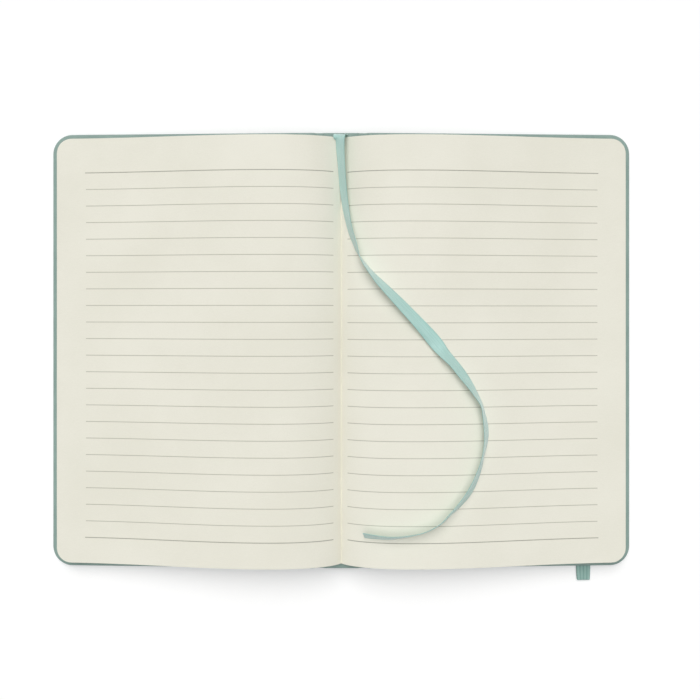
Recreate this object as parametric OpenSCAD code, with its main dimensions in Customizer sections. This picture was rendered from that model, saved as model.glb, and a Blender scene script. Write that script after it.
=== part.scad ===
// Casebound notebook lying open at its middle, seen with the front cover on the left.
// Millimetres. The origin is on the table under the middle of the spine.
// +X points to the back cover's fore-edge, +Y to the head, +Z up.

/* [Covers] */
// Height of the covers from tail to head
cover_h = 211.2; // [180:0.2:260]
// Width of each cover board from its spine side to its fore-edge
board_w = 127; // [115:0.5:170]
// Thickness of the cover boards
board_t = 2; // [1.4:0.1:3]
// Radius of the outer corners of the covers
cover_r = 9.5; // [6:0.5:16]
// Thickness of the covering cloth
cloth_t = 0.5; // [0.3:0.05:0.6]
// Width of the cloth turned in over the inner faces
turn_in = 15; // [10:0.5:20]
// Thickness of the endpapers
paper_t = 0.2; // [0.1:0.05:0.3]
// Distance of the pasted endpaper from the cover's edges
paste_inset = 3; // [1:0.5:6]

/* [Spine] */
// Width of the spine stiffener
spine_w = 14; // [12:0.5:24]
// Thickness of the spine stiffener
spine_t = 1.5; // [0.8:0.1:2.5]
// Width of the flexible groove between spine stiffener and cover board
groove_w = 7; // [5:0.5:10]
// Height of the spine above the table when the book lies open
spine_lift = 5.8; // [5.6:0.1:8]
// Thickness of the paper lining on the back of the sewn leaves
lining_t = 0.4; // [0.2:0.1:0.6]

/* [Leaves] */
// Distance of the leaves' head and tail inside the covers' head and tail
end_square = 3.1; // [2:0.1:6]
// Distance of the top leaf's fore-edge inside the cover's fore-edge
fore_square = 3.7; // [3:0.1:7]
// Further reach of the lowest leaf, which gives the fore-edge its slant
fore_slant = 1.2; // [0.4:0.1:3]
// Radius of the leaves' outer corners
page_r = 7; // [5:0.5:14]
// Thickness of all the leaves together when pressed
block_t = 9.8; // [7:0.1:11]
// Depth of the folded leaves where they meet at the gutter
gutter_t = 1.5; // [1.2:0.1:3]
// Distance of the hump's crest from the gutter
hump_x = 33; // [25:1:45]
// Height of the hump's crest above the gutter
hump_h = 9.8; // [8:0.1:14]
// Distance from the gutter at which the lowest leaf comes down on the cover
land_x = 60; // [50:1:80]
// Spring of the lowest leaf away from the spine
arch_h = 7; // [4:0.5:9]

/* [Elastic band] */
// Width of the elastic band
band_w = 7; // [5:0.2:8]
// Thickness of the elastic band
band_t = 0.4; // [0.3:0.02:0.4]
// Distance of the band's middle from the cover's fore-edge
band_inset = 22; // [20:0.1:30]
// Distance of the band's slots from the head and tail of the cover
slot_inset = 18; // [17:0.5:30]
// Reach of the band's slack fold past the tail of the cover
band_fold = 7.9; // [4:0.1:12]
// Length of each band end glued inside the cover
band_glue = 12; // [8:0.5:20]

/* [Ribbon bookmark] */
// Width of the ribbon
ribbon_w = 6.5; // [4:0.5:8]
// Thickness of the ribbon
ribbon_t = 0.3; // [0.2:0.05:0.35]
// Length of the ribbon glued behind the leaves
ribbon_glue = 30; // [15:1:50]

/* [Hidden] */
$fn = 96;

// Air left between pieces that are glued or lie on each other
glue_gap = 0.02;
// Clearance of the slots and pockets around what they hold
slot_gap = 0.1;
// Distance of the cut cloth from the hinge line on each side
hinge_gap = 0.3;
// Air under the flyleaves where they lie on the covers
leaf_gap = 0.05;
// Overshoot of every cutting shape
over = 1;
// Straight pieces in each of the curves that shape the leaves
curve_steps = 24;
// Handles of the page's curve: at the gutter, before the crest, after it and at the fore-edge
gutter_reach = 3;
gutter_rise = 0.46;
crest_reach = 0.59;
slope_reach = 0.31;
edge_reach = 0.41;
// Handles of the arch under the leaves, at the spine and where it lands
arch_start = 2;
arch_end = 34;

// Hinge line of the back cover, in the middle of the cloth of the groove
hinge_x = (spine_w + groove_w) / 2;
hinge_z = spine_lift + cloth_t / 2;
// Cover from the hinge line to the fore-edge, and its slope down to the table
cover_reach = groove_w / 2 + board_w + cloth_t;
tilt = asin(spine_lift / cover_reach);
// Board from the hinge line, and the layers of the cover above the middle of its cloth
board_x = groove_w / 2;
case_t = board_t + 2 * cloth_t;
board_low = cloth_t / 2;
board_top = board_low + board_t;
paste_top = board_top + cloth_t + paper_t;
// Half height inside the turned-in cloth at head and tail
open_y = cover_h / 2 - turn_in;

// Leaves from head to tail, and reach of the top leaf from the gutter to its fore-edge
page_h = cover_h - 2 * end_square;
page_w = hinge_x + cover_reach * cos(tilt) - fore_square;

// Heights along the spine
spine_top = spine_lift + spine_t + 2 * cloth_t;
block_low = spine_top + lining_t;
gutter_z = block_low + gutter_t;
crest_z = gutter_z + hump_h;

// Height above the table of a level in the back cover, at a distance from the gutter
function cover_z(x, level) = hinge_z + level / cos(tilt) - (x - hinge_x) * tan(tilt);

// Levels of the lowest leaf and of the top leaf at the fore-edge
fly_low = paste_top + leaf_gap;
fly_top = fly_low + paper_t;
stack_top = fly_top + block_t / 2;

// Point on a curve with two handles
function curve_at(p, t) =
  p[0] * pow(1 - t, 3) + p[1] * 3 * t * pow(1 - t, 2) + p[2] * 3 * t * t * (1 - t) + p[3] * pow(t, 3);
function curve(p) = [for (i = [0:curve_steps]) curve_at(p, i / curve_steps)];

// Top page: steep out of the gutter, over the crest, then down along the cover
fore_top = [page_w, cover_z(page_w, stack_top)];
slope_w = page_w - hump_x;
page_rise = curve([
  [0, gutter_z],
  [gutter_reach, gutter_z + gutter_rise * hump_h],
  [hump_x - crest_reach * hump_x, crest_z],
  [hump_x, crest_z]
]);
page_fall = curve([
  [hump_x, crest_z],
  [hump_x + slope_reach * slope_w, crest_z],
  fore_top + edge_reach * slope_w * [-1, tan(tilt)],
  fore_top
]);
// Height of the open page at a distance from the gutter
function page_z(x) = lookup(abs(x), concat(page_rise, page_fall));

// Underside of the leaves: an arch next to the spine, then flat along the cover
fore_low = [page_w + fore_slant, cover_z(page_w + fore_slant, fly_top)];
under_arch = curve([
  [block_t / 2, block_low],
  [block_t / 2 + arch_start, block_low + arch_h],
  [land_x - arch_end, cover_z(land_x - arch_end, fly_top)],
  [land_x, cover_z(land_x, fly_top)]
]);
under_side = concat(under_arch, [fore_low]);

// Outline of half the leaves, from the spine round the fore-edge to the gutter
half_leaves = concat(
  [[0, block_low]],
  under_side,
  [for (i = [curve_steps:-1:1]) page_fall[i]],
  [for (i = [curve_steps:-1:0]) page_rise[i]]
);
// Outline of a flyleaf, which is the underside with its own thickness below
flyleaf_outline = concat(
  under_side,
  [for (i = [len(under_side) - 1:-1:0]) under_side[i] - [0, paper_t / cos(tilt)]]
);
// Lean of the fore-edge from upright
fore_lean = atan2(fore_low[0] - fore_top[0], fore_top[1] - fore_low[1]);

// Elastic band: its place from the hinge line and the levels of its layers
band_x = cover_reach - band_inset;
slot_y = cover_h / 2 - slot_inset;
slot_l = band_t + 1;
band_in = board_top - glue_gap - band_t / 2;
band_out = -cloth_t / 2 - glue_gap - band_t / 2;
band_under = band_out - band_t - glue_gap;
band_bend = 0.3;
// Where the fold's lower layer leaves the cover, and where it has come down, from the tail slot
fold_leaves = 20;
fold_down = 8;
// Slack fold past the tail: a round turn that stands a little open
fold_r = 0.4;
fold_y = -(cover_h / 2 + band_fold - fold_r - band_t / 2);
fold_turn = [for (a = [-90:-22.5:-270]) [fold_y + fold_r * cos(a), band_under + fold_r * (1 + sin(a))]];
// Middle line of the band from the head slot over the outer face, round the fold to the tail slot
band_line = concat(
  [
    [slot_y - band_glue, band_in],
    [slot_y - band_bend, band_in],
    [slot_y, band_in - band_bend],
    [slot_y, band_out + band_bend],
    [slot_y - band_bend, band_out],
    [-slot_y + fold_leaves, band_out],
    [-slot_y + fold_down, band_under]
  ],
  fold_turn,
  [
    [-cover_h / 2 - 0.5, band_out],
    [-slot_y - band_bend, band_out],
    [-slot_y, band_out + band_bend],
    [-slot_y, band_in - band_bend],
    [-slot_y + band_bend, band_in],
    [-slot_y + band_glue, band_in]
  ]
);

// Direction of a line's piece, and the sideways step that keeps a strip's thickness at its corners
function way(line, i) =
  let (a = max(0, min(i, len(line) - 2)), d = line[a + 1] - line[a]) d / norm(d);
function corner(line, i) =
  let (a = way(line, i - 1), b = way(line, i), n = [-a[1] - b[1], a[0] + b[0]]) n / (1 + a * b);
function strip(line, t) = concat(
  [for (i = [0:len(line) - 1]) line[i] + corner(line, i) * t / 2],
  [for (i = [len(line) - 1:-1:0]) line[i] - corner(line, i) * t / 2]
);

// Glued part of the ribbon, up the back of the leaves: its height counted from the gutter, and its pieces
glued_z = ribbon_t / 2 + 0.7 * slot_gap - gutter_t;
glued_steps = 3;
// Ribbon route: share of the page's reach, share of its half height, height above the page,
// direction its width points in plan, and lean of that width
ribbon_route = concat(
  [for (i = [glued_steps:-1:0])
    [0, 1 - (ribbon_glue - slot_gap) * i / glued_steps / (page_h / 2), glued_z, 180, 0]],
  [
    [0.000, 1.013, -0.45, 180, 0],
    [0.000, 1.015, 1.50, 176, -8],
    [-0.004, 1.008, 3.30, 174, -18],
    [-0.004, 0.990, 4.75, 172, -47],
    [-0.003, 0.938, 4.80, 180, -55],
    [0.001, 0.859, 4.85, 184, -60],
    [0.006, 0.772, 3.00, 186, -61],
    [0.013, 0.693, 1.95, 188, -64],
    [0.021, 0.626, 2.50, 191, -68],
    [0.032, 0.560, 2.80, 195, -72],
    [0.046, 0.504, 3.10, 199, -76],
    [0.057, 0.461, 3.40, 204, -84],
    [0.073, 0.419, 3.65, 211, -100],
    [0.097, 0.373, 3.60, 217, -108],
    [0.125, 0.328, 3.35, 222, -119],
    [0.155, 0.286, 3.05, 224, -127],
    [0.196, 0.229, 2.65, 224, -136],
    [0.239, 0.168, 2.25, 223, -143],
    [0.281, 0.107, 1.70, 222, -153],
    [0.321, 0.045, 0.85, 220, -167],
    [0.349, -0.002, 2.00, 221, -145],
    [0.380, -0.047, 2.50, 221, -133],
    [0.410, -0.097, 2.50, 218, -132],
    [0.437, -0.146, 2.80, 214, -124],
    [0.461, -0.197, 3.15, 210, -113],
    [0.480, -0.244, 3.30, 201, -106],
    [0.489, -0.297, 3.15, 191, -111],
    [0.496, -0.357, 3.00, 184, -117],
    [0.495, -0.412, 3.10, 173, -114],
    [0.485, -0.480, 3.25, 167, -109],
    [0.469, -0.556, 3.05, 159, -116],
    [0.442, -0.635, 2.85, 149, -122],
    [0.410, -0.691, 3.05, 139, -118],
    [0.370, -0.745, 3.25, 134, -111],
    [0.332, -0.791, 3.35, 122, -107],
    [0.269, -0.829, 3.40, 105, -107],
    [0.171, -0.849, 3.45, 93, -114],
    [0.077, -0.844, 3.20, 88, -122]
  ]
);
// Rings drawn for each step of the route
ribbon_steps = 2;

// Smooth course through the route, one value from four neighbours
function between(a, b, c, d, t) =
  b + (c - a) * t / 2 + (2 * a - 5 * b + 4 * c - d) * t * t / 2 + (3 * b - a - 3 * c + d) * t * t * t / 2;
function stop_at(i) =
  let (r = ribbon_route[max(0, min(i, len(ribbon_route) - 1))], x = r[0] * page_w)
  [x, r[1] * page_h / 2, page_z(x) + r[2], r[3], r[4]];
function along(k) =
  let (i = floor(k / ribbon_steps), t = k / ribbon_steps - i)
  between(stop_at(i - 1), stop_at(i), stop_at(i + 1), stop_at(i + 2), t);
ribbon_rings = (len(ribbon_route) - 1) * ribbon_steps + 1;
function place(k) = let (q = along(k)) [q[0], q[1], q[2]];
function unit(v) = v / norm(v);
function heading(k) = unit(place(min(k + 1, ribbon_rings - 1)) - place(max(k - 1, 0)));
function width_way(k) =
  let (q = along(k), w = [cos(q[3]) * cos(q[4]), sin(q[3]) * cos(q[4]), sin(q[4])], h = heading(k))
  unit(w - h * (w * h));
// Section of the ribbon: flat, with eased edges
ribbon_half = [
  [ribbon_w / 2, ribbon_t / 4],
  [ribbon_w / 2 - ribbon_t / 2, ribbon_t / 2],
  [-ribbon_w / 2 + ribbon_t / 2, ribbon_t / 2],
  [-ribbon_w / 2, ribbon_t / 4]
];
ribbon_section = concat(ribbon_half, -ribbon_half);
ribbon_sides = len(ribbon_section);
function ring(k) =
  let (w = width_way(k), n = cross(heading(k), w))
  [for (s = ribbon_section) place(k) + w * s[0] + n * s[1]];

cover_color = [0.537, 0.627, 0.6];
page_color = [0.902, 0.894, 0.843];
paper_color = [0.88, 0.87, 0.81];
board_color = [0.62, 0.58, 0.52];
lining_color = [0.93, 0.92, 0.88];
band_color = [0.45, 0.6, 0.56];
ribbon_color = [0.66, 0.83, 0.81];

// Outline of a sheet with a square spine side and two round outer corners
module sheet_plan(near_x, far_x, half_h, r) {
  translate([near_x, -half_h]) square([far_x - r - near_x, 2 * half_h]);
  translate([near_x, r - half_h]) square([far_x - near_x, 2 * (half_h - r)]);
  for (side = [-1, 1]) translate([far_x - r, side * (half_h - r)]) circle(r);
}

// Block from one corner to the other along X and Z, centred along Y
module slab(x, half_h, z) {
  translate([x[0], -half_h, z[0]]) cube([x[1] - x[0], 2 * half_h, z[1] - z[0]]);
}

// Places something drawn flat from the hinge line outwards on the tilted covers
module on_back_cover() {
  translate([hinge_x, 0, hinge_z]) rotate([0, tilt, 0]) children();
}
module on_front_cover() {
  mirror([1, 0, 0]) on_back_cover() children();
}

// Cloth of one cover: outer face, edges, turned-in margins and the doubled ends of the groove
module cover_cloth() {
  difference() {
    translate([0, 0, -cloth_t / 2])
      linear_extrude(case_t) sheet_plan(hinge_gap, cover_reach, cover_h / 2, cover_r);
    translate([0, 0, board_low])
      linear_extrude(board_t)
        sheet_plan(board_x, cover_reach - cloth_t, cover_h / 2 - cloth_t, cover_r - cloth_t);
    slab([-over, cover_reach - turn_in], open_y, [board_low, board_top + cloth_t + over]);
    slab([-over, board_x - cloth_t], cover_h, [board_low + cloth_t, board_top + cloth_t + over]);
  }
}

module cover_board() {
  translate([0, 0, board_low + glue_gap])
    linear_extrude(board_t - glue_gap)
      sheet_plan(
        board_x + glue_gap,
        cover_reach - cloth_t - glue_gap,
        cover_h / 2 - cloth_t - glue_gap,
        cover_r - cloth_t - glue_gap
      );
}

// Endpaper pasted on the inner face: over the turned-in cloth, down onto the board, into the groove
module pastedown() {
  well_x = cover_reach - turn_in - glue_gap;
  well_y = open_y - glue_gap;
  difference() {
    union() {
      translate([0, 0, board_top + cloth_t])
        linear_extrude(paper_t)
          sheet_plan(board_x, cover_reach - paste_inset, cover_h / 2 - paste_inset, cover_r - paste_inset);
      slab([board_x - paper_t, well_x], well_y, [board_top, paste_top]);
      slab([board_x - paper_t, board_x], well_y, [board_low, paste_top]);
      slab([hinge_gap, board_x], well_y, [board_low, board_low + paper_t]);
    }
    slab([0, well_x - paper_t], well_y - paper_t, [board_top + paper_t, paste_top + over]);
  }
}

// Openings for the elastic band at head and tail, with a shallow bed for each glued end
module band_cuts() {
  half_w = band_w / 2 + slot_gap;
  bed_l = band_glue + slot_gap + slot_l / 2;
  for (side = [-1, 1]) {
    translate([band_x - half_w, side * slot_y - slot_l / 2, -cloth_t - over])
      cube([2 * half_w, slot_l, case_t + 2 * over]);
    translate([band_x - half_w, min(side * (slot_y - band_glue - slot_gap), side * slot_y), 0])
      translate([0, 0, board_top - band_t - 3 * glue_gap]) cube([2 * half_w, bed_l - slot_l / 2, over]);
  }
}

module text_block() {
  color(page_color)
    difference() {
      rotate([90, 0, 0])
        linear_extrude(page_h, center = true)
          polygon(concat(half_leaves, [for (i = [len(half_leaves) - 1:-1:0])
            if (half_leaves[i][0] > 0) [-half_leaves[i][0], half_leaves[i][1]]]));
      for (side = [0, 1], end = [0, 1]) mirror([side, 0, 0]) mirror([0, end, 0]) leaf_corner();
      // Bed of the ribbon's glued end on the back of the leaves
      translate([-ribbon_w / 2 - slot_gap, page_h / 2 - ribbon_glue, block_low - over])
        cube([ribbon_w + 2 * slot_gap, ribbon_glue + over, ribbon_t + slot_gap + over]);
    }
}

// What is trimmed off one outer corner of the leaves, along the slant of the fore-edge
module leaf_corner() {
  high = block_t + 2 * over;
  translate([fore_low[0], page_h / 2, fore_low[1]])
    rotate([0, -fore_lean, 0])
      translate([-page_r, -page_r, -high])
        difference() {
          cube([page_r + over, page_r + over, 2 * high]);
          translate([0, 0, -over]) cylinder(2 * high + 2 * over, r = page_r);
        }
}

module flyleaf() {
  color(paper_color)
    intersection() {
      rotate([90, 0, 0]) linear_extrude(page_h, center = true) polygon(flyleaf_outline);
      linear_extrude(crest_z) sheet_plan(0, fore_low[0], page_h / 2, page_r);
    }
}

module back_flyleaf() {
  flyleaf();
}

module front_flyleaf() {
  mirror([1, 0, 0]) flyleaf();
}

module spine_lining() {
  color(lining_color) slab([-block_t / 2, block_t / 2], page_h / 2, [spine_top, block_low]);
}

module spine_stiffener() {
  low = spine_lift + cloth_t;
  color(board_color)
    slab(
      [glue_gap - spine_w / 2, spine_w / 2 - glue_gap],
      cover_h / 2 - cloth_t - glue_gap,
      [low + glue_gap, low + spine_t]
    );
}

// Cloth of the spine with its turned-in ends, out to the hinge lines
module spine_cloth() {
  low = spine_lift + cloth_t;
  groove_x = spine_w / 2 + cloth_t;
  color(cover_color)
    difference() {
      slab([hinge_gap - hinge_x, hinge_x - hinge_gap], cover_h / 2, [spine_lift, spine_top]);
      slab([-spine_w / 2, spine_w / 2], cover_h / 2 - cloth_t, [low, low + spine_t]);
      slab([-hinge_x, hinge_x], open_y, [low, spine_top + over]);
      for (side = [0, 1])
        mirror([side, 0, 0]) slab([groove_x, hinge_x], cover_h, [low + cloth_t, spine_top + over]);
    }
}

module front_board() {
  color(board_color) on_front_cover() cover_board();
}

module front_cover_cloth() {
  color(cover_color) on_front_cover() cover_cloth();
}

module front_pastedown() {
  color(paper_color) on_front_cover() pastedown();
}

module back_board() {
  color(board_color)
    on_back_cover()
      difference() {
        cover_board();
        band_cuts();
      }
}

module back_cover_cloth() {
  color(cover_color)
    on_back_cover()
      difference() {
        cover_cloth();
        band_cuts();
      }
}

module back_pastedown() {
  color(paper_color) on_back_cover() pastedown();
}

module elastic_band() {
  color(band_color)
    on_back_cover()
      translate([band_x - band_w / 2, 0, 0])
        rotate([90, 0, 90]) linear_extrude(band_w) polygon(strip(band_line, band_t));
}

module ribbon_bookmark() {
  points = [for (k = [0:ribbon_rings - 1]) each ring(k)];
  function at(k, s) = k * ribbon_sides + s % ribbon_sides;
  // Both faces are split along the same diagonal, so that the thickness holds where the ribbon twists
  walls = [
    for (k = [0:ribbon_rings - 2], s = [0:ribbon_sides - 1])
      each s < ribbon_sides / 2
        ? [[at(k, s), at(k + 1, s), at(k, s + 1)], [at(k, s + 1), at(k + 1, s), at(k + 1, s + 1)]]
        : [[at(k, s), at(k + 1, s), at(k + 1, s + 1)], [at(k, s), at(k + 1, s + 1), at(k, s + 1)]]
  ];
  start = [for (s = [0:ribbon_sides - 1]) at(0, s)];
  end = [for (s = [ribbon_sides - 1:-1:0]) at(ribbon_rings - 1, s)];
  color(ribbon_color) polyhedron(points, concat(walls, [start, end]));
}

text_block();
spine_lining();
spine_stiffener();
spine_cloth();
front_flyleaf();
back_flyleaf();
ribbon_bookmark();
front_board();
front_cover_cloth();
front_pastedown();
back_board();
back_cover_cloth();
back_pastedown();
elastic_band();
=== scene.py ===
"""Looks of a casebound notebook that lies open at its middle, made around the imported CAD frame.

Shapes are worked out in millimetres as whole numpy arrays, and put() turns them into metres.
Each half is drawn as the back half, at positive X, and the front half is its mirror image.
"""
import math

import bpy
import numpy as np
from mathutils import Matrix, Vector


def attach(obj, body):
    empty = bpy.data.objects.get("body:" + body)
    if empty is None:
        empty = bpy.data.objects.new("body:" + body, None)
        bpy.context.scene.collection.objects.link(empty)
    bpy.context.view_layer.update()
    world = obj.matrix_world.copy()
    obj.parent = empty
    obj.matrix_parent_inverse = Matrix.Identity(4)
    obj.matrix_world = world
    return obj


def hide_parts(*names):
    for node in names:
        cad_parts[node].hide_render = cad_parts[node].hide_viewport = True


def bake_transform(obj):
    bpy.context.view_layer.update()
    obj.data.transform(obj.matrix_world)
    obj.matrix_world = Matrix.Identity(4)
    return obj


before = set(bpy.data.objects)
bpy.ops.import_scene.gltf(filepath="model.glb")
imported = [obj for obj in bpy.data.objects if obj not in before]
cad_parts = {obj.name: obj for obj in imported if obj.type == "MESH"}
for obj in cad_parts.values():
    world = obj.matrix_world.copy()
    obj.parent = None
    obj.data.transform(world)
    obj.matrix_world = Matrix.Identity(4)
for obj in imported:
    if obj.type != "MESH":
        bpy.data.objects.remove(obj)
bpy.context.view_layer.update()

MM = 0.001
ROOT = "spine_and_leaves"
COVERS = {1: "back_cover", -1: "front_cover"}
SIDES = {1: "back", -1: "front"}

# Sizes of the CAD source, in millimetres
COVER_H, BOARD_W, BOARD_T, COVER_R = 211.2, 127.0, 2.0, 9.5
CLOTH_T, TURN_IN, PAPER_T, PASTE_INSET = 0.5, 15.0, 0.2, 3.0
SPINE_W, SPINE_T, GROOVE_W, SPINE_LIFT, LINING_T = 14.0, 1.5, 7.0, 5.8, 0.4
END_SQUARE, FORE_SQUARE, FORE_SLANT, PAGE_R = 3.1, 3.7, 1.2, 7.0
BLOCK_T, GUTTER_T, HUMP_X, HUMP_H, LAND_X, ARCH_H = 9.8, 1.5, 33.0, 9.8, 60.0, 7.0
BAND_W, BAND_T, BAND_INSET, SLOT_INSET, BAND_FOLD, BAND_GLUE = 7.0, 0.4, 22.0, 18.0, 7.9, 12.0
RIBBON_W, RIBBON_T, RIBBON_GLUE = 6.5, 0.3, 30.0
RIB_PITCH = BAND_W / 4
AIR = 0.02
# Room beside the band in its slots, half the height of a slot, and the gap under the flyleaf
SLOT_GAP, SLOT_HALF, FLY_GAP = 0.15, 0.7, 0.05

# Places that follow from them
HINGE = np.array([(SPINE_W + GROOVE_W) / 2, SPINE_LIFT + CLOTH_T / 2])
REACH = GROOVE_W / 2 + BOARD_W + CLOTH_T
TILT = math.asin(SPINE_LIFT / REACH)
BOARD_X = GROOVE_W / 2
BOARD_TOP = CLOTH_T / 2 + BOARD_T
PASTE_TOP = BOARD_TOP + CLOTH_T + PAPER_T
SPINE_TOP = SPINE_LIFT + SPINE_T + 2 * CLOTH_T
BLOCK_LOW = SPINE_TOP + LINING_T
GUTTER_Z = BLOCK_LOW + GUTTER_T
CREST_Z = GUTTER_Z + HUMP_H
PAGE_H = COVER_H - 2 * END_SQUARE
PAGE_W = HINGE[0] + REACH * math.cos(TILT) - FORE_SQUARE
BAND_X = REACH - BAND_INSET
SLOT_Y = COVER_H / 2 - SLOT_INSET

# How a mesh is finished: the angle from which an edge is sharp, and millimetres to one unit of a UV map
SHARP_ANGLE = math.radians(35)
FLAT_SCALE = 100


def cover_z(x, level):
    """Height above the table of a level in the back cover: the tilted line through the hinge."""
    return HINGE[1] + level / math.cos(TILT) - (x - HINGE[0]) * math.tan(TILT)


def bezier(handles, count=24):
    """Points of a cubic curve: four handles weighted by the Bernstein polynomials of t from 0 to 1."""
    a, b, c, d = np.array(handles, float)
    t = np.linspace(0, 1, count + 1)[:, None]
    return a * (1 - t) ** 3 + 3 * b * t * (1 - t) ** 2 + 3 * c * t * t * (1 - t) + d * t**3


FLY_TOP = PASTE_TOP + FLY_GAP + PAPER_T
FORE_TOP = np.array([PAGE_W, cover_z(PAGE_W, FLY_TOP + BLOCK_T / 2)])
FORE_LOW = np.array([PAGE_W + FORE_SLANT, cover_z(PAGE_W + FORE_SLANT, FLY_TOP)])
SLOPE_W = PAGE_W - HUMP_X
# Handles of the open page's line: at the gutter, before and after the crest, and at the fore-edge
RISE_X, RISE_SHARE, CREST_IN, CREST_OUT, FORE_PULL = 3, 0.46, 0.41, 0.31, 0.41
TOP_LINE = np.vstack([
    bezier([
        (0, GUTTER_Z),
        (RISE_X, GUTTER_Z + RISE_SHARE * HUMP_H),
        (CREST_IN * HUMP_X, CREST_Z),
        (HUMP_X, CREST_Z),
    ]),
    bezier([
        (HUMP_X, CREST_Z),
        (HUMP_X + CREST_OUT * SLOPE_W, CREST_Z),
        FORE_TOP + FORE_PULL * SLOPE_W * np.array([-1, math.tan(TILT)]),
        FORE_TOP,
    ])[1:],
])
# Handles of the underside's line: how far out it rises from the spine, and how far before its landing
# place it comes down on the cover
ARCH_X, LAND_PULL = 2, 34
UNDER_LINE = np.vstack([
    bezier([
        (BLOCK_T / 2, BLOCK_LOW),
        (BLOCK_T / 2 + ARCH_X, BLOCK_LOW + ARCH_H),
        (LAND_X - LAND_PULL, cover_z(LAND_X - LAND_PULL, FLY_TOP)),
        (LAND_X, cover_z(LAND_X, FLY_TOP)),
    ]),
    FORE_LOW,
])


# Camera: straight down on the open book, framed by lens shift as the photograph is
VIEW_HEIGHT, VIEW_Y = 425, 20.4
VIEW_LENS, VIEW_SENSOR, VIEW_SHIFT = 44.23, 36, (0.0125, -0.059286)
eye = bpy.data.cameras.new("eye")
eye.lens, eye.sensor_width = VIEW_LENS, VIEW_SENSOR
eye.shift_x, eye.shift_y = VIEW_SHIFT
camera = bpy.data.objects.new("eye", eye)
camera.location = (0, VIEW_Y * MM, VIEW_HEIGHT * MM)
bpy.context.scene.collection.objects.link(camera)
bpy.context.scene.camera = camera


# Meshes: points and faces are worked out as whole arrays, and put() makes the object
def quads(at, turned=False):
    """Four-sided faces of a grid of vertex numbers, each cell going round through its four corners."""
    cells = np.stack([at[:-1, :-1], at[1:, :-1], at[1:, 1:], at[:-1, 1:]], -1).reshape(-1, 4)
    return cells[:, ::-1] if turned else cells


def put(name, points, faces, finish, side=1, spread=None):
    """Makes an object of points in millimetres. The front half is mirrored, with its faces turned back.

    spread holds the flat place of each vertex, in millimetres, which goes into the piece's UV map.
    """
    points = np.asarray(points, float).reshape(-1, 3) * MM
    faces = np.asarray(faces, int)
    if side < 0:
        points = points * [-1, 1, 1]
        faces = faces[:, ::-1]
    mesh = bpy.data.meshes.new(name)
    mesh.from_pydata(points.tolist(), [], faces.tolist())
    mesh.update()
    mesh.polygons.foreach_set("use_smooth", np.ones(len(mesh.polygons), bool))
    if spread is not None:
        corner = np.zeros(len(mesh.loops), int)
        mesh.loops.foreach_get("vertex_index", corner)
        flat = mesh.uv_layers.new(name="flat")
        spread = np.asarray(spread, float).reshape(-1, 2) / FLAT_SCALE
        flat.data.foreach_set("uv", spread[corner].ravel())
    mesh.set_sharp_from_angle(angle=SHARP_ANGLE)
    mesh.materials.append(finish.material)
    piece = bpy.data.objects.new(name, mesh)
    bpy.context.scene.collection.objects.link(piece)
    return piece


def thicken(piece, thickness):
    """Gives an open skin its wall, inwards from its faces, and keeps the result as the mesh."""
    wall = piece.modifiers.new("wall", "SOLIDIFY")
    wall.thickness, wall.offset, wall.use_even_offset = thickness * MM, -1, True
    bpy.context.view_layer.update()
    solid = piece.evaluated_get(bpy.context.evaluated_depsgraph_get())
    whole = bpy.data.meshes.new_from_object(solid)
    piece.modifiers.clear()
    piece.data = whole
    whole.set_sharp_from_angle(angle=SHARP_ANGLE)
    return piece


def closed_sheets(upper, lower):
    """Closed thin sheets from their two faces, arrays of sheet by row by column by 3.

    Each sheet has its upper grid, its lower grid turned over, and a wall round their common border.
    """
    count, rows, cols = upper.shape[:3]
    at = np.arange(rows * cols).reshape(rows, cols)
    rim = np.concatenate([at[:, 0], at[-1, 1:], at[-2::-1, -1], at[0, -2:0:-1]])
    after = np.roll(rim, -1)
    down = rows * cols
    wall = np.stack([rim + down, after + down, after, rim], -1)
    one = np.concatenate([quads(at), quads(at + down, turned=True), wall])
    faces = (one[None] + 2 * down * np.arange(count)[:, None, None]).reshape(-1, 4)
    points = np.stack([upper.reshape(count, -1, 3), lower.reshape(count, -1, 3)], 1)
    return points, faces


def along(line, share):
    """Points of a polyline at shares of its own length, looked up by the length run so far."""
    run = np.concatenate([[0], np.cumsum(np.linalg.norm(np.diff(line, axis=0), axis=1))])
    at = np.asarray(share) * run[-1]
    return np.stack([np.interp(at, run, line[:, k]) for k in range(line.shape[1])], -1)


def length_of(line):
    """Length of a polyline."""
    return np.linalg.norm(np.diff(line, axis=0), axis=1).sum()


GUTTER_POWER = 1.35


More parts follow.
